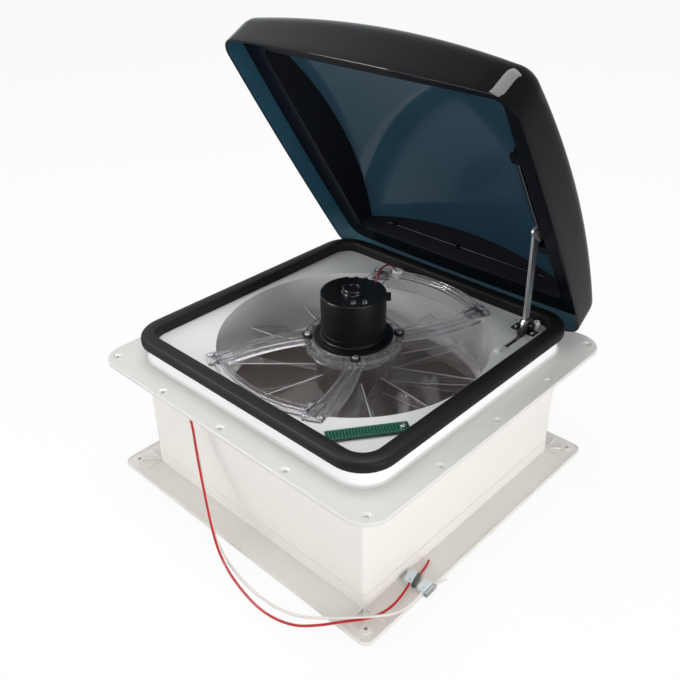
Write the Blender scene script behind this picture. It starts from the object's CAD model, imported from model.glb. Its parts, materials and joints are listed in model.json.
# %% [markdown]
# A caravan roof vent with its lid fully open, standing on the floor with its two supply
# wires laid round the lower flange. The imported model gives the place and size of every
# piece, so the scene starts from it and dresses it.

# %% Load the frame
import bpy
import bmesh
import json
import math
import numpy as np
from mathutils import Matrix, Vector


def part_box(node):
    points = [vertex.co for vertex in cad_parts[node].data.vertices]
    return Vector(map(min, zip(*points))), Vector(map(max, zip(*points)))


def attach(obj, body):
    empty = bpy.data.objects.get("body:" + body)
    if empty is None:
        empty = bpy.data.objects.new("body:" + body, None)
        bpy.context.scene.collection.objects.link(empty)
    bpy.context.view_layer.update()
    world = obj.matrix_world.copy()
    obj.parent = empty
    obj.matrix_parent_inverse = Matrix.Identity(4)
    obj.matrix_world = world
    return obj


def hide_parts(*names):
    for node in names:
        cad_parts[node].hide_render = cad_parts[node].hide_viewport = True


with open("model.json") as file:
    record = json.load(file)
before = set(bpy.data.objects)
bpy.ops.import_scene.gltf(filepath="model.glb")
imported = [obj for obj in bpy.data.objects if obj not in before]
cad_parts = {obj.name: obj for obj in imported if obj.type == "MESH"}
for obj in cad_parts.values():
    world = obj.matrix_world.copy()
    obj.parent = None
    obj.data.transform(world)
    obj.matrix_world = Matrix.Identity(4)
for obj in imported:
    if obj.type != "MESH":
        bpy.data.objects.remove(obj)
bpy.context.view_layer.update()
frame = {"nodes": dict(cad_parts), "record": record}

nodes = frame["nodes"]
mm = 0.001

# %% [markdown]
# The camera stands where the photographer stood: about a metre away and half a metre above
# the roof flange, looking at the corner between the lift arm side and the wire side. Its
# three axes were found by matching the corners of the flanges, so they are set as a matrix.

# %% Camera
camera_place = (0.5564, -0.6022, 0.5235)
camera_right = (0.72640521, 0.68715383, -0.01245285)
camera_up = (-0.35291568, 0.38850032, 0.85118625)
camera_back = (0.58973383, -0.61391132, 0.52471602)
camera_lens = 43.348
lens = bpy.data.cameras.new("camera")
lens.sensor_width = 36.0
lens.lens = camera_lens
lens.clip_start = 0.01
camera = bpy.data.objects.new("camera", lens)
turn = Matrix((camera_right, camera_up, camera_back)).transposed().to_4x4()
camera.matrix_world = Matrix.Translation(camera_place) @ turn
bpy.context.scene.collection.objects.link(camera)
bpy.context.scene.camera = camera
print("camera", camera_place, "lens", camera_lens)

# %% [markdown]
# A studio for white goods surrounds the object with white. The world is white for the
# camera and for rays through clear plastic, and dimmer for the light that falls on the
# vent. Gloss sees a darker sky that brightens to the left, so the black lid stays black.

# %% World
scene = bpy.context.scene
scene.view_settings.view_transform = "Standard"
world = bpy.data.worlds.new("studio")
scene.world = world
world.use_nodes = True
tree = world.node_tree
tree.nodes.clear()
rays = tree.nodes.new("ShaderNodeLightPath")


def sky(colour, strength):
    """Background shader of one colour and strength."""
    node = tree.nodes.new("ShaderNodeBackground")
    node.inputs["Color"].default_value = (*colour, 1)
    node.inputs["Strength"].default_value = strength
    return node.outputs[0]


def chosen(ray, otherwise, wanted):
    """Shader that is the wanted one for one kind of ray."""
    node = tree.nodes.new("ShaderNodeMixShader")
    tree.links.new(rays.outputs[ray], node.inputs[0])
    tree.links.new(otherwise, node.inputs[1])
    tree.links.new(wanted, node.inputs[2])
    return node.outputs[0]


dim_until, bright_from = -0.45, -0.78
mirror_dim, mirror_bright = 0.30, 0.95
backdrop = sky((1, 1, 1), 1.0)
heading = tree.nodes.new("ShaderNodeTexCoord")
parts = tree.nodes.new("ShaderNodeSeparateXYZ")
tree.links.new(heading.outputs["Generated"], parts.inputs[0])
slope = tree.nodes.new("ShaderNodeMapRange")
for socket, value in (("From Min", dim_until), ("From Max", bright_from),
                      ("To Min", mirror_dim), ("To Max", mirror_bright)):
    slope.inputs[socket].default_value = value
tree.links.new(parts.outputs[0], slope.inputs["Value"])
mirror_sky = sky((0.92, 0.96, 1.0), mirror_dim)
tree.links.new(slope.outputs[0], mirror_sky.node.inputs["Strength"])
whole = chosen("Is Glossy Ray", sky((0.95, 0.97, 1.0), 0.62), mirror_sky)
whole = chosen("Is Transmission Ray", whole, backdrop)
whole = chosen("Is Camera Ray", whole, backdrop)
out = tree.nodes.new("ShaderNodeOutputWorld")
tree.links.new(whole, out.inputs[0])
print("world nodes", len(tree.nodes))

# %% [markdown]
# Three large soft lamps light the vent: one from the front left, one from the right and one
# from above, which gloss does not see. Two more cards shine on gloss alone. They draw the
# pale shapes that a polished dome shows, without adding light to the white mouldings.

# %% Lamps
def lamp(name, place, aim, size, power):
    """Square soft lamp at a place, facing a point, in metres and watts."""
    light = bpy.data.lights.new(name, "AREA")
    light.size = size
    light.energy = power
    thing = bpy.data.objects.new(name, light)
    scene.collection.objects.link(thing)
    back = Vector(place) - Vector(aim)
    facing = back.to_track_quat("Z", "Y").to_matrix().to_4x4()
    thing.matrix_world = Matrix.Translation(place) @ facing
    return thing


flange_middle, lid_middle = (0, 0, 0.0), (0, 0, 0.3)
lamp("key_left", (-1.1, -2.0, 0.24), flange_middle, 1.4, 23)
lamp("fill_right", (2.1, -0.3, 0.35), flange_middle, 1.3, 26)
roof = lamp("top", (-0.25, 0.1, 2.0), flange_middle, 1.2, 19)
roof.visible_glossy = False
for name, place, size, power in (("gloss_above", (0.1, 0.34, 2.0), 1.1, 38),
                                 ("gloss_spot", (-1.2, -0.77, 1.65), 0.5, 31)):
    card = lamp(name, place, lid_middle, size, power)
    card.visible_diffuse = False
    card.visible_transmission = False

# %% [markdown]
# Every finish is a small node tree on one Principled shader: a broad cloud that shifts the
# colour a little, a fine grain that roughens the surface and lifts it as bump. Object
# coordinates are used, because each mesh holds its own place, so a pattern stays put.

# %% Making a finish
def finish(name, colour, rough=0.4, metal=0.0, cloud=0.06, cloud_scale=9.0, grain_scale=900.0,
           grain=0.05, bump=0.1, depth=0.0002, **sockets):
    """Material whose colour and roughness are drawn from two octaves of noise.

    colour is linear; cloud is the share by which it darkens in soft patches; grain is how
    far the roughness swings; sockets are constants set on the shader itself.
    """
    material = bpy.data.materials.new(name)
    material.use_nodes = True
    tree = material.node_tree
    shader = tree.nodes["Principled BSDF"]
    place = tree.nodes.new("ShaderNodeTexCoord")
    broad = tree.nodes.new("ShaderNodeTexNoise")
    broad.inputs["Scale"].default_value = cloud_scale
    broad.inputs["Detail"].default_value = 4
    fine = tree.nodes.new("ShaderNodeTexNoise")
    fine.inputs["Scale"].default_value = grain_scale
    fine.inputs["Detail"].default_value = 3
    tree.links.new(place.outputs["Object"], broad.inputs["Vector"])
    tree.links.new(place.outputs["Object"], fine.inputs["Vector"])
    blend = tree.nodes.new("ShaderNodeMix")
    blend.data_type = "RGBA"
    blend.inputs[6].default_value = (*colour, 1)
    blend.inputs[7].default_value = (*[c * (1 - 2 * cloud) for c in colour], 1)
    tree.links.new(broad.outputs["Fac"], blend.inputs[0])
    tree.links.new(blend.outputs[2], shader.inputs["Base Color"])
    swing = tree.nodes.new("ShaderNodeMapRange")
    swing.inputs["To Min"].default_value = max(rough - grain, 0.02)
    swing.inputs["To Max"].default_value = min(rough + grain, 1)
    tree.links.new(fine.outputs["Fac"], swing.inputs["Value"])
    tree.links.new(swing.outputs[0], shader.inputs["Roughness"])
    lift = tree.nodes.new("ShaderNodeBump")
    lift.inputs["Strength"].default_value = bump
    lift.inputs["Distance"].default_value = depth
    tree.links.new(fine.outputs["Fac"], lift.inputs["Height"])
    tree.links.new(lift.outputs[0], shader.inputs["Normal"])
    shader.inputs["Metallic"].default_value = metal
    for socket, value in sockets.items():
        shader.inputs[socket.replace("_", " ")].default_value = value
    return material


# %% [markdown]
# The mouldings are white and cream plastic, the lid is smoked acrylic that shines black
# outside and dark teal inside, and the bracket and blades are clear. Metal parts differ by
# how bright and how smooth their plating is. The record's slots each have one finish here,
# and a few more finishes are for single pieces.

# %% The finishes
looks = {
    "housing_white": finish("white_moulding", (0.80, 0.80, 0.785), 0.34, cloud=0.02, bump=0.12),
    "flange_white": finish("flange_moulding", (0.675, 0.66, 0.63), 0.36, cloud=0.02,
                           bump=0.14),
    "frame_cream": finish("cream_moulding", (0.80, 0.77, 0.725), 0.36, cloud=0.025, bump=0.12),
    "seal_rubber": finish("seal_rubber", (0.0150, 0.0150, 0.0150), 0.46, cloud=0.2,
                          grain_scale=1600, bump=0.3, Specular_IOR_Level=0.14),
    "clear_tint": finish("clear_plastic", (0.93, 0.92, 0.94), 0.05, cloud=0.01, cloud_scale=40,
                         grain=0.02, bump=0.01, Transmission_Weight=0.95, IOR=1.42,
                         Alpha=0.97),
    "clear_blade": finish("clear_blades", (0.90, 0.89, 0.91), 0.04, cloud=0.01, grain=0.02,
                          bump=0.02, Transmission_Weight=1.0, IOR=1.32, Alpha=0.75),
    "blade_edge": finish("lit_edges", (0.86, 0.86, 0.88), 0.25, cloud=0.01,
                         Transmission_Weight=0.35, IOR=1.45),
    "motor_black": finish("motor_paint", (0.0030, 0.0030, 0.0032), 0.36, cloud=0.15, bump=0.10,
                          Specular_IOR_Level=0.22),
    "motor_gloss": finish("motor_cap_paint", (0.0085, 0.0085, 0.0095), 0.16, grain=0.03,
                          bump=0.02, Specular_IOR_Level=0.5),
    "dark_plate": finish("blackened_steel", (0.006, 0.006, 0.007), 0.30, cloud=0.2, bump=0.1,
                         Specular_IOR_Level=0.4),
    "thin_rod": finish("dull_chrome", (0.20, 0.21, 0.22), 0.16, metal=1.0, cloud=0.1,
                       cloud_scale=60, bump=0.03),
    "dim_rod": finish("dark_rod", (0.045, 0.048, 0.055), 0.2, metal=1.0, cloud=0.1,
                      cloud_scale=60, bump=0.03),
    "arm_plate": finish("bright_zinc", (0.70, 0.71, 0.72), 0.30, metal=0.85, cloud=0.04,
                        cloud_scale=30, bump=0.03),
    "lead_crimson": finish("crimson_insulation", (0.17, 0.004, 0.018), 0.35, cloud=0.06,
                           cloud_scale=60),
    "bright_steel": finish("zinc_plate", (0.74, 0.75, 0.76), 0.28, metal=1.0, cloud=0.12,
                           cloud_scale=60, bump=0.08),
    "dark_magnet": finish("magnet", (0.05, 0.05, 0.055), 0.5),
    "copper_core": finish("copper_winding", (0.55, 0.24, 0.11), 0.35, metal=1.0),
    "board_green": finish("solder_mask", (0.010, 0.115, 0.050), 0.3),
    "screen_brown": finish("screen_wire", (0.175, 0.140, 0.122), 0.5, cloud=0.12),
    "lid_black": finish("smoked_gloss", (0.0030, 0.0030, 0.0034), 0.05, grain=0.02, bump=0.012,
                        cloud=0.1, Specular_IOR_Level=0.24),
    "frame_black": finish("satin_black", (0.0060, 0.0075, 0.0115), 0.22, grain=0.05, cloud=0.2,
                          bump=0.04, Specular_IOR_Level=0.07),
    "liner_teal": finish("dark_teal", (0.021, 0.055, 0.083), 0.05, grain=0.02, cloud=0.15,
                         bump=0.01, Specular_IOR_Level=0.21),
    "lid_inside": finish("dark_teal_skirt", (0.026, 0.084, 0.128), 0.16, grain=0.03,
                         cloud=0.15, bump=0.02, Specular_IOR_Level=0.25),
    "nylon_grey": finish("grey_nylon", (0.10, 0.10, 0.10), 0.45),
    "gear_nylon": finish("natural_nylon", (0.72, 0.70, 0.64), 0.42),
    "control_dark": finish("dark_grey_plastic", (0.035, 0.035, 0.037), 0.45),
    "wire_red": finish("red_insulation", (0.50, 0.008, 0.012), 0.32, cloud=0.06,
                       cloud_scale=60),
    "wire_white": finish("white_insulation", (0.76, 0.72, 0.66), 0.36, cloud=0.04,
                         cloud_scale=60),
    "tap_pale": finish("pale_plastic", (0.70, 0.76, 0.78), 0.3, cloud=0.04,
                       Subsurface_Weight=0.1),
    "tap_clear": finish("clear_gel_plastic", (0.86, 0.90, 0.91), 0.1, grain=0.03,
                        Transmission_Weight=0.9, IOR=1.45),
    "rubber_grommet": finish("pale_rubber", (0.62, 0.60, 0.56), 0.5),
}
print("finishes", len(looks))

# %% [markdown]
# Two finishes change with height. The curb that stands up from the roof flange is whiter
# than the flange itself, and the lid's inner face is paler near its hinge, where it faces
# the white tray. A second colour is mixed in between two heights.

# %% Finishes on the model's pieces
def blended_by_height(material, colour, low, high):
    """Mix in a second colour by height: its share goes from 0 at low to 1 at high, in metres."""
    tree = material.node_tree
    shader = tree.nodes["Principled BSDF"]
    place = tree.nodes.new("ShaderNodeTexCoord")
    parts = tree.nodes.new("ShaderNodeSeparateXYZ")
    share = tree.nodes.new("ShaderNodeMapRange")
    blend = tree.nodes.new("ShaderNodeMix")
    blend.data_type = "RGBA"
    share.inputs["From Min"].default_value = low
    share.inputs["From Max"].default_value = high
    blend.inputs[7].default_value = (*colour, 1)
    tree.links.new(place.outputs["Object"], parts.inputs[0])
    tree.links.new(parts.outputs[2], share.inputs["Value"])
    tree.links.new(share.outputs[0], blend.inputs[0])
    tree.links.new(shader.inputs["Base Color"].links[0].from_socket, blend.inputs[6])
    tree.links.new(blend.outputs[2], shader.inputs["Base Color"])


curb_white, flange_until, curb_from = (0.93, 0.93, 0.925), 0.0055, 0.0075
skirt_pale, skirt_dark_above, skirt_pale_below = (0.085, 0.190, 0.240), 0.080, 0.030
blended_by_height(looks["flange_white"], curb_white, flange_until, curb_from)
blended_by_height(looks["lid_inside"], skirt_pale, skirt_dark_above, skirt_pale_below)
for row in frame["record"]["subparts"]:
    mesh = nodes[row["node"]].data
    mesh.materials.clear()
    mesh.materials.append(looks[row["material_slot"]])
for node, look in (("roof_flange_base", "flange_white"), ("motor_flange", "dark_plate"),
                   ("motor_end_cap", "motor_gloss"), ("guide_rod", "thin_rod"),
                   ("tie_rod", "dim_rod"), ("lift_arm", "arm_plate"),
                   ("arm_sector", "control_dark"), ("arm_bracket", "dark_plate"),
                   ("arm_pivot_pin", "dark_plate")):
    nodes[node].data.materials[0] = looks[look]

# %% [markdown]
# Most new pieces are skins: a grid of points worked out from two numbers, joined into
# quads. A skin may wrap round in one or both directions and may have its open ends capped.
# Several grids make one piece, and the whole is turned the right way out at the end.

# %% Skins from grids of points
merge_within = 1e-6


def quads(rows, columns, wrap_rows, wrap_columns, first):
    """Corner numbers of the quads between neighbouring grid points, as one array."""
    i, j = np.meshgrid(np.arange(rows if wrap_rows else rows - 1),
                       np.arange(columns if wrap_columns else columns - 1), indexing="ij")
    i_next, j_next = (i + 1) % rows, (j + 1) % columns
    corners = (i * columns + j, i * columns + j_next,
               i_next * columns + j_next, i_next * columns + j)
    return (np.stack(corners, -1).reshape(-1, 4) + first).tolist()


def skin(name, grids, body, slot, replaces=(), look=None, sharp=35.0):
    """Piece made of grids in millimetres.

    Each grid is (points, wrap_rows, wrap_columns, capped, mark). The mark is the number of
    the face's look, either one for the whole grid or one for each of its quads.
    """
    points, faces, marks, count = [], [], [], 0
    for grid, wrap_rows, wrap_columns, capped, mark in grids:
        rows, columns = grid.shape[:2]
        made = quads(rows, columns, wrap_rows, wrap_columns, count)
        if capped:
            made.append(list(range(count, count + columns))[::-1])
            made.append(list(range(count + (rows - 1) * columns, count + rows * columns)))
        own = np.zeros(len(made), int)
        own[:len(mark) if np.ndim(mark) else None] = mark
        points.append(grid.reshape(-1, 3))
        faces += made
        marks += own.tolist()
        count += rows * columns
    mesh = bpy.data.meshes.new(name)
    mesh.from_pydata((np.vstack(points) * mm).tolist(), [], faces)
    mesh.polygons.foreach_set("material_index", marks)
    loose = bmesh.new()
    loose.from_mesh(mesh)
    bmesh.ops.remove_doubles(loose, verts=loose.verts, dist=merge_within)
    bmesh.ops.dissolve_degenerate(loose, edges=loose.edges, dist=merge_within)
    bmesh.ops.recalc_face_normals(loose, faces=loose.faces)
    loose.to_mesh(mesh)
    loose.free()
    mesh.shade_smooth()
    mesh.set_sharp_from_angle(angle=math.radians(sharp))
    piece = bpy.data.objects.new(name, mesh)
    scene.collection.objects.link(piece)
    for material in (look or [looks[slot]]):
        mesh.materials.append(material)
    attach(piece, body)
    if replaces:
        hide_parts(*replaces)
    print(name, len(mesh.vertices), "points", len(mesh.polygons), "faces")
    return piece


# %% [markdown]
# The grids come from a few kinds of shape. A profile may be carried round an outline or
# turned about a vertical line, and a small block or foot is a profile carried round its own
# rounded rectangle.

# %% Outlines and profiles
def rounded(half_x, half_y, corner, along, round_steps):
    """Points and outward normals of a rectangle whose quarter circles are joined by runs."""
    places, normals = [], []
    for index, (sx, sy) in enumerate(((1, 1), (-1, 1), (-1, -1), (1, -1))):
        angle = np.linspace(0, np.pi / 2, round_steps) + index * np.pi / 2
        way = np.stack((np.cos(angle), np.sin(angle)), -1)
        centre = np.array((sx * (half_x - corner), sy * (half_y - corner)))
        places.append(centre + corner * way)
        normals.append(way)
    loop, outward = [], []
    for index in range(4):
        start, end = places[index][-1], places[(index + 1) % 4][0]
        share = np.linspace(0, 1, along + 1)[1:-1, None]
        loop += [places[index], start + (end - start) * share]
        outward += [normals[index], np.repeat(normals[index][-1:], along - 1, 0)]
    return np.vstack(loop), np.vstack(outward)


def carried(loop, outward, profile):
    """Grid of a profile (offset, height) round an outline: point plus normal times offset."""
    profile = np.asarray(profile, float)
    flat = loop[None] + outward[None] * profile[:, 0][:, None, None]
    height = np.repeat(profile[:, 1][:, None, None], len(loop), 1)
    return np.concatenate((flat, height), -1)


def revolved(profile, steps, centre=(0, 0)):
    """Grid of a profile (radius, height) turned about a vertical line."""
    profile = np.asarray(profile, float)
    angle = np.linspace(0, 2 * np.pi, steps, endpoint=False)
    x = centre[0] + profile[:, 0][:, None] * np.cos(angle)
    y = centre[1] + profile[:, 0][:, None] * np.sin(angle)
    return np.stack((x, y, np.repeat(profile[:, 1][:, None], steps, 1)), -1)


def corner_arc(centre, radius, first, last, steps):
    """Points of a circular arc in a profile, from one angle to another in degrees."""
    angle = np.radians(np.linspace(first, last, steps))
    return [(centre[0] + radius * math.cos(a), centre[1] + radius * math.sin(a)) for a in angle]


def on_circle(radius, angle):
    """Place on a circle round the fan's axis: radius times (cos, sin) of an angle in degrees."""
    return radius * math.cos(math.radians(angle)), radius * math.sin(math.radians(angle))


def placed(grid, x, y, angle):
    """Grid turned about the vertical by an angle in degrees and moved to a place."""
    c, s = on_circle(1, angle)
    return np.stack((x + grid[..., 0] * c - grid[..., 1] * s,
                     y + grid[..., 0] * s + grid[..., 1] * c, grid[..., 2]), -1)


def pad(half_x, half_y, corner, low, high, soft=0.4):
    """Closed round-cornered block whose upper and lower edges are softened."""
    loop, ways = rounded(half_x, half_y, corner, along=3, round_steps=5)
    profile = [(-soft, low), (0, low + soft), (0, high - soft),
               (-0.3 * soft, high - 0.3 * soft), (-soft, high)]
    return carried(loop, ways, profile)


print("helpers ready")

# %% [markdown]
# The supply wires come first, because they reach furthest. Each is one smooth line through
# the same places as its rod in the model: straight out of the grommet, down the wall under
# its own weight, along the floor and up over the corner of the lower flange to its tap.
# The motor lead hops from the back of the motor to the moulded boss on the tray.

# %% Routes of the cords
red_route = [(-0.0862, -0.1676, -0.0084), (-0.0862, -0.187, -0.0084), (-0.073, -0.1885, -0.033),
             (-0.06, -0.1965, -0.064), (-0.038, -0.208, -0.101), (-0.006, -0.224, -0.145),
             (0.022, -0.2335, -0.1576), (0.06, -0.2435, -0.1576), (0.1, -0.248, -0.1576),
             (0.134, -0.2395, -0.1576), (0.157, -0.2235, -0.152), (0.174, -0.206, -0.1475),
             (0.1895, -0.188, -0.1475), (0.1975, -0.168, -0.1475), (0.1965, -0.1435, -0.1495),
             (0.1902, -0.1205, -0.1505)]
white_route = [(-0.0898, -0.1676, -0.0116), (-0.0898, -0.1855, -0.0116), (-0.077, -0.187, -0.037),
               (-0.0645, -0.192, -0.067), (-0.044, -0.2025, -0.103), (-0.024, -0.213, -0.143),
               (0.002, -0.2225, -0.1576), (0.04, -0.2325, -0.1576), (0.081, -0.237, -0.1576),
               (0.117, -0.2325, -0.1576), (0.144, -0.223, -0.152), (0.163, -0.212, -0.1456),
               (0.181, -0.1975, -0.143), (0.1985, -0.1795, -0.143), (0.2082, -0.159, -0.1475),
               (0.2088, -0.1385, -0.15), (0.2076, -0.1215, -0.1498)]
lead_route = [(0.004, 0.034, 0.08), (0.002, 0.039, 0.09), (-0.009, 0.057, 0.0865),
              (-0.025, 0.086, 0.076), (-0.042, 0.115, 0.06), (-0.054, 0.1375, 0.043),
              (-0.06, 0.15, 0.031)]
red_stub_route = [(0.1899, -0.1027, -0.1521), (0.1886, -0.0976, -0.1521),
                  (0.1868, -0.0869, -0.1521), (0.1841, -0.0795, -0.1521)]
white_stub_route = [(0.2116, -0.1042, -0.1511), (0.2115, -0.0989, -0.1511),
                    (0.214, -0.0946, -0.1511), (0.2152, -0.089, -0.1511)]
supply_diameter, stub_diameter, lead_diameter = 0.0028, 0.0024, 0.0023
print("routes of", len(red_route), len(white_route), len(lead_route), "points")

# %% [markdown]
# A cord is a curve with a round bevel. Every point's radius is half the diameter and the
# bevel depth is one, so the curve's own radius stays the cord's. Its length is measured on
# the bare line and compared with what is told to the frame.

# %% Cords
def wire(name, route, diameter, slot, node):
    """Round cord on a smooth spline whose control points are the route's points."""
    line = bpy.data.curves.new(name, "CURVE")
    line.dimensions = "3D"
    spline = line.splines.new("NURBS")
    spline.points.add(len(route) - 1)
    for point, place in zip(spline.points, route):
        point.co = (*place, 1)
        point.radius = diameter / 2
    spline.order_u = 3
    spline.use_endpoint_u = True
    spline.resolution_u = 10
    line.bevel_depth = 1.0
    line.bevel_resolution = 4
    line.use_fill_caps = True
    line.materials.append(looks[slot])
    piece = bpy.data.objects.new(name, line)
    scene.collection.objects.link(piece)
    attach(piece, "housing")
    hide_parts(node)
    return piece


def spline_length(piece):
    """Length of a wire along its spline, from the points of its unbevelled line."""
    line = piece.data
    line.bevel_depth = 0
    mesh = bpy.data.meshes.new_from_object(piece)
    places = np.empty(len(mesh.vertices) * 3)
    mesh.vertices.foreach_get("co", places)
    line.bevel_depth = 1.0
    steps = np.diff(places.reshape(-1, 3), axis=0)
    bpy.data.meshes.remove(mesh)
    return float(np.linalg.norm(steps, axis=1).sum())


red_wire = wire("supply_red", red_route, supply_diameter, "wire_red", "red_wire")
white_wire = wire("supply_white", white_route, supply_diameter, "wire_white", "white_wire")
motor_wire = wire("motor_wire", lead_route, lead_diameter, "wire_red", "motor_lead")
motor_wire.data.materials[0] = looks["lead_crimson"]
red_end = wire("red_end", red_stub_route, stub_diameter, "wire_red", "red_stub")
white_end = wire("white_end", white_stub_route, stub_diameter, "wire_white", "white_stub")
for piece in (red_wire, white_wire, motor_wire, red_end, white_end):
    print(piece.name, "length", round(spline_length(piece) * 1000, 1), "mm")

# %% [markdown]
# The lid is one smoked dome on a bowed square rim. A ring of it is that square drawn in by
# an inset, which may differ from point to point. Everything on the lid is worked out closed
# and then turned open about the hinge line.

# %% Rings of the lid
rim_z = 20.5
rim_half = (191.5, 189.25)
rim_bow, rim_corner, draft = 4.6, 26.0, math.tan(math.radians(2.6))
side_steps, corner_steps, smallest_corner = 16, 10, 1.0
hinge_y, hinge_z, open_angle = 184.1, 17.8, math.radians(-58)


def opened(grid):
    """Grid of the closed lid turned about the hinge line to its open place."""
    y, z = grid[..., 1] - hinge_y, grid[..., 2] - hinge_z
    c, s = math.cos(open_angle), math.sin(open_angle)
    return np.stack((grid[..., 0], hinge_y + y * c - z * s, hinge_z + y * s + z * c), -1)


def drawn_in(half, corner, inset, bow=0.0):
    """Ring inside a round-cornered rectangle: core plus outward way times (corner - inset)."""
    size = np.array(half, float)
    loop, ways = rounded(size[0], size[1], corner, side_steps, corner_steps)
    inset = np.broadcast_to(np.asarray(inset, float), len(loop))[:, None]
    radius = np.maximum(corner - inset, smallest_corner)
    core = (loop - corner * ways) * (size - inset - radius) / (size - corner)
    ring = core + ways * radius
    reach = size - inset
    bend = bow * (1 - (ring[:, ::-1] / reach[:, ::-1]) ** 2)
    return ring * (1 + bend / reach)


def ball_height(ring, crown, sphere):
    """Height of a ball's cap over the rim: crown + sqrt(sphere^2 - x^2 - y^2) - sphere."""
    return crown + np.sqrt(sphere ** 2 - (ring ** 2).sum(-1)) - sphere


def raised(ring, height):
    """Ring lifted to a height over the rim."""
    level = np.broadcast_to(np.asarray(height, float), len(ring))
    return np.column_stack((ring, rim_z + level))


def lid_ring(inset, height):
    """Ring of the lid at an inset from its rim and a height over it."""
    return raised(drawn_in(rim_half, rim_corner, inset, rim_bow), height)


print("rim", len(lid_ring(0, 0)), "points, open by", math.degrees(-open_angle), "degrees")

# %% [markdown]
# The dome is moulded with a skirt that leans in by the draft, a fillet that turns it under
# the crown, and a crown that is part of a large sphere. The outer and inner face are made
# the same way, a wall's thickness apart, and a small round lip joins them at the rim. The
# lip is black like the outside, and the rest of the inner face is teal.

# %% Dome
fillet_rounds, skirt_rows, fillet_rows, crown_rows = 14, 6, 10, 22
lid_wall, lip = 2.6, 0.8
crown_high, crown_ball = 78.0, 1080.0
outer_shoulder, inner_shoulder = 24.0, 21.0


def lid_face(start, crown, sphere, shoulder):
    """Rings of one face of the dome, from its lip to the middle of the crown.

    The fillet's centre is a radius inside the leaning skirt and a radius under the crown, so
    inset and height of that centre are found by repeating the two conditions.
    """
    ways = rounded(rim_half[0], rim_half[1], rim_corner, side_steps, corner_steps)[1]
    lean = math.atan(draft)
    touch = np.full(len(ways), start + shoulder)
    for repeat in range(fillet_rounds):
        ring = drawn_in(rim_half, rim_corner, touch, rim_bow)
        slope = np.arctan((ring * ways).sum(-1) / np.sqrt(sphere ** 2 - (ring ** 2).sum(-1)))
        centre_high = ball_height(ring, crown, sphere) - shoulder * np.cos(slope)
        centre_in = start + centre_high * draft + shoulder / math.cos(lean)
        touch = centre_in - shoulder * np.sin(slope)
    end = centre_high + shoulder * math.sin(lean)
    heights = [lip + (end - lip) * share for share in np.linspace(0, 1, skirt_rows)]
    rows = [lid_ring(start + height * draft, height) for height in heights]
    for share in np.linspace(0, 1, fillet_rows)[1:]:
        angle = lean + (np.pi / 2 - slope - lean) * share
        rows.append(lid_ring(centre_in - shoulder * np.cos(angle),
                             centre_high + shoulder * np.sin(angle)))
    for share in np.linspace(1, 0, crown_rows)[1:]:
        smaller = ring * share
        rows.append(raised(smaller, ball_height(smaller, crown, sphere)))
    return np.stack(rows)


round_over = [(lip * (1 - math.cos(a)), lip * (1 - math.sin(a))) for a in np.radians((90, 60, 30))]
outer_lip = [lid_ring(inset, height) for inset, height in round_over]
inner_lip = [lid_ring(lid_wall - inset, height) for inset, height in round_over]
outer_face = lid_face(0.0, crown_high, crown_ball, outer_shoulder)
outer_face = np.concatenate((np.stack(outer_lip), outer_face))
inner_face = lid_face(lid_wall, crown_high - lid_wall, crown_ball - lid_wall, inner_shoulder)
inner_face = np.concatenate((np.stack(outer_lip[:1] + inner_lip), inner_face))
black_rows = 4
row_of_face = np.repeat(np.arange(len(inner_face) - 1), inner_face.shape[1])
inner_marks = (row_of_face >= black_rows).astype(int)
skin("lid_dome", [(opened(outer_face), False, True, False, 0),
                  (opened(inner_face), False, True, False, inner_marks)],
     "lid", "lid_black", replaces=("lid_shell",), look=[looks["lid_black"], looks["lid_inside"]])

# %% [markdown]
# Under the crown lie a black frame and the curved inner panel. The frame is one closed
# profile whose points sit at their own heights: flat plate, small fillet that catches the
# light as a thin line, then a sloping wall up to the panel's ball.

# %% Inner frame of the lid
frame_half, frame_corner, wall_lean = (158.0, 158.0), 8.0, math.radians(24.8)
plate_low, plate_high, edge_round = 22.0, 24.5, 1.3
plate_gap, plate_chamfer, frame_wall = 0.4, 0.5, 2.0
liner_crown, liner_sphere = 72.0, 700.0
climb_rounds, climb_guess = 12, 30.0
climb = np.full(len(drawn_in(frame_half, frame_corner, 0)), climb_guess)
for repeat in range(climb_rounds):
    meeting = drawn_in(frame_half, frame_corner, climb * math.tan(wall_lean))
    climb = ball_height(meeting, liner_crown, liner_sphere) - plate_low


def wall_ring(out, height):
    """Ring of the sloping wall, moved out by its thickness, at heights over the plate."""
    half = (frame_half[0] + out, frame_half[1] + out)
    inset = height * math.tan(wall_lean)
    return raised(drawn_in(half, frame_corner + out, inset), plate_low + height)


plate_in = lid_wall + plate_high * draft + plate_gap
frame_rows = [lid_ring(plate_in + plate_chamfer, plate_high),
              lid_ring(plate_in, plate_high - plate_chamfer),
              lid_ring(plate_in, plate_low + plate_chamfer),
              lid_ring(plate_in + plate_chamfer, plate_low)]
turned_by, edge_steps = np.pi / 2 - wall_lean, 6
start_in = -edge_round * math.tan(turned_by / 2)
for angle in np.linspace(0, turned_by, edge_steps):
    inset = start_in + edge_round * math.sin(angle)
    height = plate_low + edge_round * (1 - math.cos(angle))
    frame_rows.append(raised(drawn_in(frame_half, frame_corner, inset), height))
first_climb = edge_round * (1 - math.cos(turned_by))
frame_rows += [wall_ring(0.0, first_climb + (climb - first_climb) * share)
               for share in (0.25, 0.5, 0.75, 1.0)]
frame_rows += [wall_ring(frame_wall, climb),
               wall_ring(frame_wall, np.full(len(climb), plate_high - plate_low))]
skin("lid_frame", [(opened(np.stack(frame_rows)), True, True, False, 0)], "lid", "frame_black",
     replaces=("lid_inner_frame",))

# %% [markdown]
# The inner panel is a thin teal sheet bent to a ball, so it mirrors the tray below it as a
# soft gradient. Its underside is a row of rings that shrink to the middle, and its top is
# the same rings lifted by the thickness.

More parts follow.
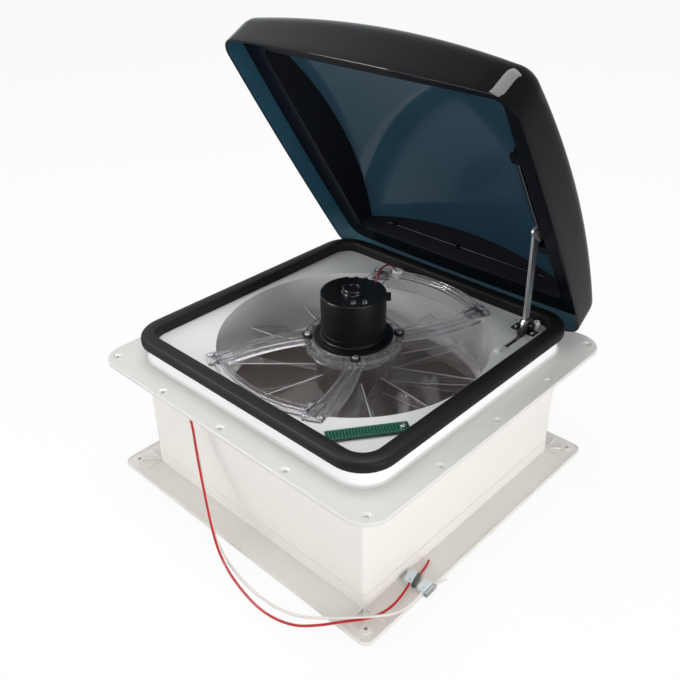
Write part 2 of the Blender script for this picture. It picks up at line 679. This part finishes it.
# %% Inner panel of the lid
panel_half, panel_rings, panel_thick = (152.0, 152.0), 30, 2.5
panel_edge = drawn_in(panel_half, frame_corner, 0)
under = [raised(panel_edge * share, ball_height(panel_edge * share, liner_crown, liner_sphere))
         for share in np.linspace(0, 1, panel_rings)]
over = [row + np.array((0, 0, panel_thick)) for row in under[::-3]]
skin("lid_panel", [(opened(np.stack(under + over)), False, True, False, 0)], "lid", "liner_teal",
     replaces=("lid_liner",))

# %% [markdown]
# The seal is a soft profile carried round the curb: broad crowned top, bulging outer side,
# tighter inner edge and the slot that grips the curb wall.

# %% Seal
curb_half, curb_corner = 180.0, 34.0
curb_loop, curb_out = rounded(curb_half, curb_half, curb_corner, along=24, round_steps=14)
seal_profile = ([(4.6, 25.4)] + corner_arc((4.7, 26.9), 1.5, -60, 0, 3)
                + [(6.35, 28.4), (6.4, 30.0)]
                + corner_arc((0.6, 31.6), 5.8, 0, 78, 8)
                + [(-2.6, 37.85), (-5.4, 37.95), (-8.0, 37.6)]
                + corner_arc((-9.3, 34.8), 2.7, 80, 180, 7)
                + [(-12.0, 28.0), (-11.8, 24.5), (-3.1, 24.5)]
                + [(-3.1, 32.6), (0.1, 32.6), (0.1, 25.6)])
skin("seal_ring", [(carried(curb_loop, curb_out, seal_profile), True, True, False, 0)],
     "housing", "seal_rubber", replaces=("curb_seal",), sharp=50.0)

# %% [markdown]
# The clear motor bracket is moulded in one: a ring with a channel under the motor's flange,
# four bowed legs of W section, a foot with two screw rings at the end of each, and a
# U-shaped arc between the feet on either side. A leg follows a quadratic curve that is
# pushed sideways by its bow. One quarter is worked out and mirrored.

# %% Legs and feet of the bracket
tray_top, leg_top, leg_low, hover = 24.5, 27.5, 18.5, 0.05
leg_start, leg_end, leg_bow, leg_steps = np.array((39.5, 39.5)), np.array((79.0, 145.5)), 12.8, 36
across = np.array((leg_end[1] - leg_start[1], leg_start[0] - leg_end[0]))
bend = (leg_start + leg_end) / 2 + across / np.linalg.norm(leg_end - leg_start) * leg_bow
share = np.linspace(0, 1, leg_steps)[:, None]
spine = leg_start * (1 - share) ** 2 + 2 * bend * share * (1 - share) + leg_end * share ** 2
way = np.gradient(spine, axis=0)
side = np.stack((way[:, 1], -way[:, 0]), -1) / np.linalg.norm(way, axis=1)[:, None]

w_across = np.array([-1, 1, 1, 0.8, 0.76, 0.14, 0.1, -0.1, -0.14, -0.76, -0.8, -1])
w_level = np.array([0, 0, 2, 2, 1, 1, 2, 2, 1, 1, 2, 2])
inner_half_width, widening, web, groove = 8.8, 2.2, 2.4, 0.4
duct_edge, on_tray = 154.0, 159.0
half_width = inner_half_width + widening * share
floor_level = np.interp(np.linalg.norm(spine, axis=1), (duct_edge, on_tray),
                        (leg_low, tray_top + hover))
levels = np.stack((floor_level, np.minimum(floor_level + web, leg_top - groove),
                   np.full(leg_steps, leg_top)), -1)
flat = spine[:, None] + side[:, None] * (half_width * w_across)[..., None]
leg = np.concatenate((flat, levels[:, w_level][..., None]), -1)

foot_angle = math.degrees(math.atan2(leg_end[1], leg_end[0]))
foot_half, foot_corner, foot_reach = (15.0, 11.5), 3.6, 158
foot = placed(pad(*foot_half, foot_corner, tray_top + hover, leg_top),
              *on_circle(foot_reach, foot_angle), foot_angle)
eye_reach, eye_offset = 167, 7.5
eye_profile = [(3.5, leg_top - 0.2), (4.5, leg_top - 0.2), (4.5, leg_top + 0.8),
               (4.2, leg_top + 1.1), (3.8, leg_top + 1.1), (3.5, leg_top + 0.8)]
quarter = [(leg, False, True, True, 0), (foot, False, True, True, 0)]
for sign in (-1, 1):
    spot = on_circle(eye_reach, foot_angle + sign * math.degrees(eye_offset / eye_reach))
    quarter.append((revolved(eye_profile, 24, spot), True, True, False, 0))
bracket = []
for mirror_x in (1, -1):
    for mirror_y in (1, -1):
        flip = np.array((mirror_x, mirror_y, 1))
        bracket += [(grid * flip, *rest) for grid, *rest in quarter]
print("legs and feet", len(bracket), "grids")

# %% [markdown]
# Each arc has three upright ribs on a flat strip, and its inner rib goes on down over the
# edge of the duct. The hub ring is a channel that short ribs cross, with a boss for each of
# the motor's four screws.

# %% Arcs and hub of the bracket
arc_profile = np.array([(153.4, 9.0), (155.2, 9.0), (155.4, 24.6), (167.2, 24.6), (167.4, 24.9),
                        (167.4, 30.1), (167.0, 30.5), (165.6, 30.5), (165.2, 30.1),
                        (165.2, 26.8), (162.0, 26.8), (162.0, 30.1), (161.6, 30.5),
                        (160.4, 30.5), (160.0, 30.1), (160.0, 26.8), (155.4, 26.8),
                        (155.4, 30.1), (155.0, 30.5), (153.8, 30.5), (153.4, 30.1)])
arc_clear, arc_steps = 2.4, 72
first_angle, last_angle = foot_angle + arc_clear, 180 - foot_angle - arc_clear
arc_angle = np.radians(np.linspace(first_angle, last_angle, arc_steps))[:, None]
arc = np.stack((arc_profile[:, 0] * np.cos(arc_angle), arc_profile[:, 0] * np.sin(arc_angle),
                np.broadcast_to(arc_profile[:, 1], (arc_steps, len(arc_profile)))), -1)
bracket += [(arc, False, True, True, 0), (arc * np.array((1, -1, 1)), False, True, True, 0)]

hub_profile = [(41.4, 12.5), (57.6, 12.5), (58.0, 12.9), (58.0, 24.1), (57.6, 24.5),
               (56.5, 24.5), (56.2, 24.1), (56.2, 15.0), (50.2, 15.0), (50.2, 24.1),
               (49.9, 24.5), (41.4, 24.5), (41.0, 24.1), (41.0, 12.9)]
bracket.append((revolved(hub_profile, 120), True, True, False, 0))
rib_count, rib_reach = 24, 53.2
rib_half, rib_corner, rib_low, rib_high = (3.1, 0.7), 0.5, 15.0, 23.6
rib = pad(*rib_half, rib_corner, rib_low, rib_high, soft=0.25)
for index in range(rib_count):
    at_boss = index % 6 == 3
    if not at_boss:
        angle = index * 360 / rib_count
        bracket.append((placed(rib, *on_circle(rib_reach, angle), angle), False, True, True, 0))
boss_reach = 53.5
boss_profile = [(2.5, 14.0), (4.9, 14.0), (4.9, 24.2), (4.6, 24.5), (2.5, 24.5)]
for angle in (45, 135, 225, 315):
    spot = on_circle(boss_reach, angle)
    bracket.append((revolved(boss_profile, 28, spot), True, True, False, 0))
skin("bracket_clear", bracket, "housing", "clear_tint", replaces=("motor_bracket",), sharp=28.0)

# %% [markdown]
# Each fan blade is a ruled twist: the half chord D turns from 48 degrees at the hub to 21 at
# the tip while it grows, and a point at share u of it is u D, thickened by a rounded plate.
# The outer end follows the circle of the duct. Clear plastic carries light to its cut edges,
# so the two long edges have a paler look than the faces.

# %% One blade
def half_chord(chord, pitch):
    """Half chord as a vector across the blade: (y, z) = chord / 2 (cos, sin) of the pitch."""
    return np.array((math.cos(math.radians(pitch)), math.sin(math.radians(pitch)))) * chord / 2


root_x, tip_x, tip_radius, middle_z = 44.0, 160.16, 154.0, -25.5
root_half, tip_half = half_chord(33.0, 48.0), half_chord(72.0, 21.0)
blade_rows, blade_round, tip_rounds, reach_guess = 16, 40, 8, 0.94
blade_half_thick, edge_from = 1.1, 0.93
chord_power, edge_power, edge_root, least_sine = 0.75, 12, 0.25, 0.25
around = np.linspace(0, 2 * np.pi, blade_round, endpoint=False)
chord_share = np.sign(np.cos(around)) * np.abs(np.cos(around)) ** chord_power
fullness = (1 - np.abs(chord_share) ** edge_power) ** edge_root
lift = np.sin(around) * blade_half_thick * fullness / np.maximum(np.abs(np.sin(around)), least_sine)
lift = np.clip(lift, -blade_half_thick, blade_half_thick)
reach = np.full(len(around), reach_guess)
for repeat in range(tip_rounds):
    y_end = chord_share * (root_half[0] + (tip_half[0] - root_half[0]) * reach)
    reach = (np.sqrt(tip_radius ** 2 - y_end ** 2) - root_x) / (tip_x - root_x)
along = np.linspace(0, 1, blade_rows)[:, None] * reach
chord_y = root_half[0] + (tip_half[0] - root_half[0]) * along
chord_z = root_half[1] + (tip_half[1] - root_half[1]) * along
length = np.hypot(chord_y, chord_z)
blade = np.stack((root_x + along * (tip_x - root_x),
                  chord_share * chord_y - lift * chord_z / length,
                  middle_z + chord_share * chord_z + lift * chord_y / length), -1)
is_edge = np.abs(chord_share) > edge_from
edge_marks = np.where(is_edge & np.roll(is_edge, -1), 1, 0)
blade_marks = np.broadcast_to(edge_marks, (blade_rows - 1, blade_round)).ravel()
print("blade", blade.shape, "edge quads", int(blade_marks.sum()))

# %% [markdown]
# The impeller is eleven such blades on a round cup. The cup's rim is open below, and its
# flat top carries the boss that the motor's shaft goes through.

# %% Impeller
blade_count, first_blade = 11, -49.706
blade_angles = [first_blade + index * 360 / blade_count for index in range(blade_count)]
fan = [(placed(blade, 0, 0, angle), False, True, True, blade_marks) for angle in blade_angles]
cup_profile = ([(4.0, -6.5), (9.0, -6.5), (9.0, 7.5), (41.0, 7.5)]
               + corner_arc((41.0, 5.5), 2.0, 80, 0, 4)
               + [(43.0, -38.0), (43.3, -38.5), (44.7, -38.5), (45.0, -38.2)]
               + corner_arc((41.0, 5.5), 4.0, 0, 90, 7) + [(4.0, 9.5)])
fan.append((revolved(cup_profile, 120), True, True, False, 0))
skin("impeller_clear", fan, "fan_rotor", "clear_tint", replaces=("impeller_hub", "impeller_blades"),
     look=[looks["clear_blade"], looks["blade_edge"]], sharp=40.0)

# %% [markdown]
# The insect screen is plain woven wire: straight bars across the round rim in two layers,
# each bar as long as the circle allows, so y gives the half length sqrt(r^2 - y^2).

# %% Insect screen
screen_radius, pitch, wire_half, screen_z = 157.6, 1.9, 0.42, -55.4
flattening, layer_shift = 0.7, 0.12
rows_at = np.arange(-screen_radius + pitch, screen_radius, pitch)
half_length = np.sqrt(screen_radius ** 2 - rows_at ** 2)
bar_y = np.array([-1, 1, 1, -1]) * wire_half
bar_z = np.array([-1, -1, 1, 1]) * wire_half * flattening
woven = []
for at, half in zip(rows_at, half_length):
    for swap in (0, 1):
        bar = np.empty((2, 4, 3))
        bar[..., swap] = np.array([[-half], [half]])
        bar[..., 1 - swap] = at + bar_y
        bar[..., 2] = screen_z + bar_z + (layer_shift if swap else -layer_shift)
        woven.append((bar, False, True, False, 0))
rim_profile = [(154.2, -56.0), (158.3, -56.0), (158.3, -54.9), (154.2, -54.9)]
woven.append((revolved(rim_profile, 120), True, True, False, 0))
skin("screen_weave", woven, "housing", "screen_brown", replaces=("insect_screen",), sharp=30.0)

# %% [markdown]
# The motor's can is drawn steel in satin paint: a turned-out foot, a seam just above it and a
# small terminal tab high on its side.

# %% Motor can
can_profile = ([(36.0, 27.6), (39.4, 27.6), (39.8, 28.0), (39.8, 29.4)]
               + corner_arc((40.2, 31.4), 2.2, 250, 180, 4)
               + [(38.0, 36.0), (37.6, 36.4), (37.6, 36.8), (38.0, 37.2), (38.0, 79.7)]
               + corner_arc((37.2, 79.7), 0.8, 0, 90, 4) + [(36.0, 80.5)])
tab_reach, tab_angle = 40.3, 45
tab_half, tab_corner, tab_low, tab_high = (2.6, 3.5), 0.5, 71.0, 79.0
tab = placed(pad(*tab_half, tab_corner, tab_low, tab_high, soft=0.3),
             *on_circle(tab_reach, tab_angle), tab_angle)
skin("can_smooth", [(revolved(can_profile, 128), True, True, False, 0),
                    (tab, False, True, True, 0)],
     "housing", "motor_black", replaces=("motor_can",), sharp=40.0)

# %% [markdown]
# The cap that closes the can is glossier. A round boss over its bearing rises from the
# middle, and three notches in its edge are cut by pulling the points between two angles in
# towards the axis.

# %% Motor cap
cap_profile = ([(0.02, 80.6), (37.2, 80.6), (37.8, 80.9), (38.0, 81.3)]
               + corner_arc((37.2, 81.7), 0.8, 0, 90, 4) + [(14.6, 82.5)]
               + corner_arc((13.9, 83.9), 1.4, 270, 180, 5) + [(12.5, 87.2)]
               + corner_arc((11.3, 87.2), 1.2, 0, 90, 6) + [(8.0, 88.4)]
               + corner_arc((8.0, 87.4), 1.0, 90, 180, 4) + [(6.9, 86.6), (0.02, 86.6)])
notches_at, notch_half, notch_floor = (100, 118, 136), 5.3, 35.0
cap = revolved(cap_profile, 360)
turn_at = np.degrees(np.arctan2(cap[..., 1], cap[..., 0])) % 360
for notch_at in notches_at:
    from_axis = np.hypot(cap[..., 0], cap[..., 1])
    cut = (np.abs(turn_at - notch_at) < notch_half) & (from_axis > notch_floor)
    cap[cut, :2] *= notch_floor / from_axis[cut][:, None]
skin("cap_smooth", [(cap, False, True, False, 0)], "housing", "motor_black",
     replaces=("motor_end_cap",), look=[looks["motor_gloss"]], sharp=40.0)

# %% [markdown]
# The rain sensor's board has two combs of tinned lines that reach between each other. Along
# the board x counts the teeth, and every second tooth stops short of one of the two rails.

# %% Rain sensor board
def comb_board(centre, angle):
    """Solder mask over two combs: lines of one pitch, odd and even ones on opposite rails."""
    tooth_pitch, line_half = 0.0016, 0.00055
    tooth_reach, rail_at, rail_half, board_half = 0.0050, 0.0062, 0.0007, 0.0070
    material = finish("comb_board", (0.002, 0.052, 0.030), 0.28)
    tree = material.node_tree
    shader = tree.nodes["Principled BSDF"]

    def number(operation, first, second=0.0, third=0.0):
        """Output of one Math node; each input is a number or another node's output."""
        node = tree.nodes.new("ShaderNodeMath")
        node.operation = operation
        for socket, value in zip(node.inputs, (first, second, third)):
            if isinstance(value, (int, float)):
                socket.default_value = value
            else:
                tree.links.new(value, socket)
        return node.outputs[0]

    place = tree.nodes.new("ShaderNodeTexCoord")
    parts = tree.nodes.new("ShaderNodeSeparateXYZ")
    tree.links.new(place.outputs["Object"], parts.inputs[0])
    c, s = on_circle(1, angle)
    x_in = number("SUBTRACT", parts.outputs[0], centre[0] * mm)
    y_in = number("SUBTRACT", parts.outputs[1], centre[1] * mm)
    run = number("ADD", number("MULTIPLY", x_in, c), number("MULTIPLY", y_in, s))
    over = number("SUBTRACT", number("MULTIPLY", y_in, c), number("MULTIPLY", x_in, s))
    line = number("LESS_THAN", number("PINGPONG", run, tooth_pitch), line_half)
    shifted = number("PINGPONG", number("ADD", run, tooth_pitch), 2 * tooth_pitch)
    odd = number("GREATER_THAN", shifted, tooth_pitch)
    signed = number("MULTIPLY", over, number("SUBTRACT", number("MULTIPLY", odd, 2.0), 1.0))
    tooth = number("MULTIPLY", line, number("LESS_THAN", signed, tooth_reach))
    rail = number("COMPARE", number("ABSOLUTE", over), rail_at, rail_half)
    inside = number("LESS_THAN", number("ABSOLUTE", over), board_half)
    pattern = number("MULTIPLY", number("MAXIMUM", tooth, rail), inside)
    blend = tree.nodes.new("ShaderNodeMix")
    blend.data_type = "RGBA"
    tree.links.new(shader.inputs["Base Color"].links[0].from_socket, blend.inputs[6])
    blend.inputs[7].default_value = (0.045, 0.165, 0.105, 1)
    tree.links.new(pattern, blend.inputs[0])
    tree.links.new(blend.outputs[2], shader.inputs["Base Color"])
    return material


board_middle, board_turn = (136.0, -127.5), 54.0
nodes["rain_sensor_board"].data.materials[0] = comb_board(board_middle, board_turn)
print("board dressed, turned by", board_turn, "degrees")

# %% [markdown]
# The floor is the pale sheet that the vent stands on. For the camera it is nearly as white
# as the backdrop, and it keeps only a soft trace of the vent's shadow. Gloss sees it darker,
# so the black lid and the motor do not turn grey.

# %% Floor
def studio_floor(level):
    """Large plane below the vent; most of what the camera sees of it is plain white."""
    plain_share, reach = 0.88, 4.0
    pale, seen_in_gloss = (0.86, 0.86, 0.86, 1), (0.38, 0.37, 0.36, 1)
    material = bpy.data.materials.new("studio_floor")
    material.use_nodes = True
    tree = material.node_tree
    tree.nodes.clear()
    rays = tree.nodes.new("ShaderNodeLightPath")
    share = tree.nodes.new("ShaderNodeMath")
    share.operation = "MULTIPLY"
    share.inputs[1].default_value = plain_share
    sheet = tree.nodes.new("ShaderNodeBsdfDiffuse")
    shade = tree.nodes.new("ShaderNodeMix")
    shade.data_type = "RGBA"
    shade.inputs[6].default_value = pale
    shade.inputs[7].default_value = seen_in_gloss
    tree.links.new(rays.outputs["Is Glossy Ray"], shade.inputs[0])
    tree.links.new(shade.outputs[2], sheet.inputs["Color"])
    glow = tree.nodes.new("ShaderNodeEmission")
    mix = tree.nodes.new("ShaderNodeMixShader")
    out = tree.nodes.new("ShaderNodeOutputMaterial")
    tree.links.new(rays.outputs["Is Camera Ray"], share.inputs[0])
    tree.links.new(share.outputs[0], mix.inputs[0])
    tree.links.new(sheet.outputs[0], mix.inputs[1])
    tree.links.new(glow.outputs[0], mix.inputs[2])
    tree.links.new(mix.outputs[0], out.inputs[0])
    mesh = bpy.data.meshes.new("studio_floor")
    mesh.from_pydata([(-reach, -reach, level), (reach, -reach, level), (reach, reach, level),
                      (-reach, reach, level)], [], [(0, 1, 2, 3)])
    mesh.materials.append(material)
    floor = bpy.data.objects.new("studio_floor", mesh)
    scene.collection.objects.link(floor)


floor_gap = 0.0002
ground_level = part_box("interior_frame")[0][2] - floor_gap
studio_floor(ground_level)
print("floor at", ground_level)

# %% [markdown]
# Last, the sizes of the model and of what is seen are noted, and the frame checks that every
# piece rides on a body.

# %% Sizes and finish
bpy.context.view_layer.update()
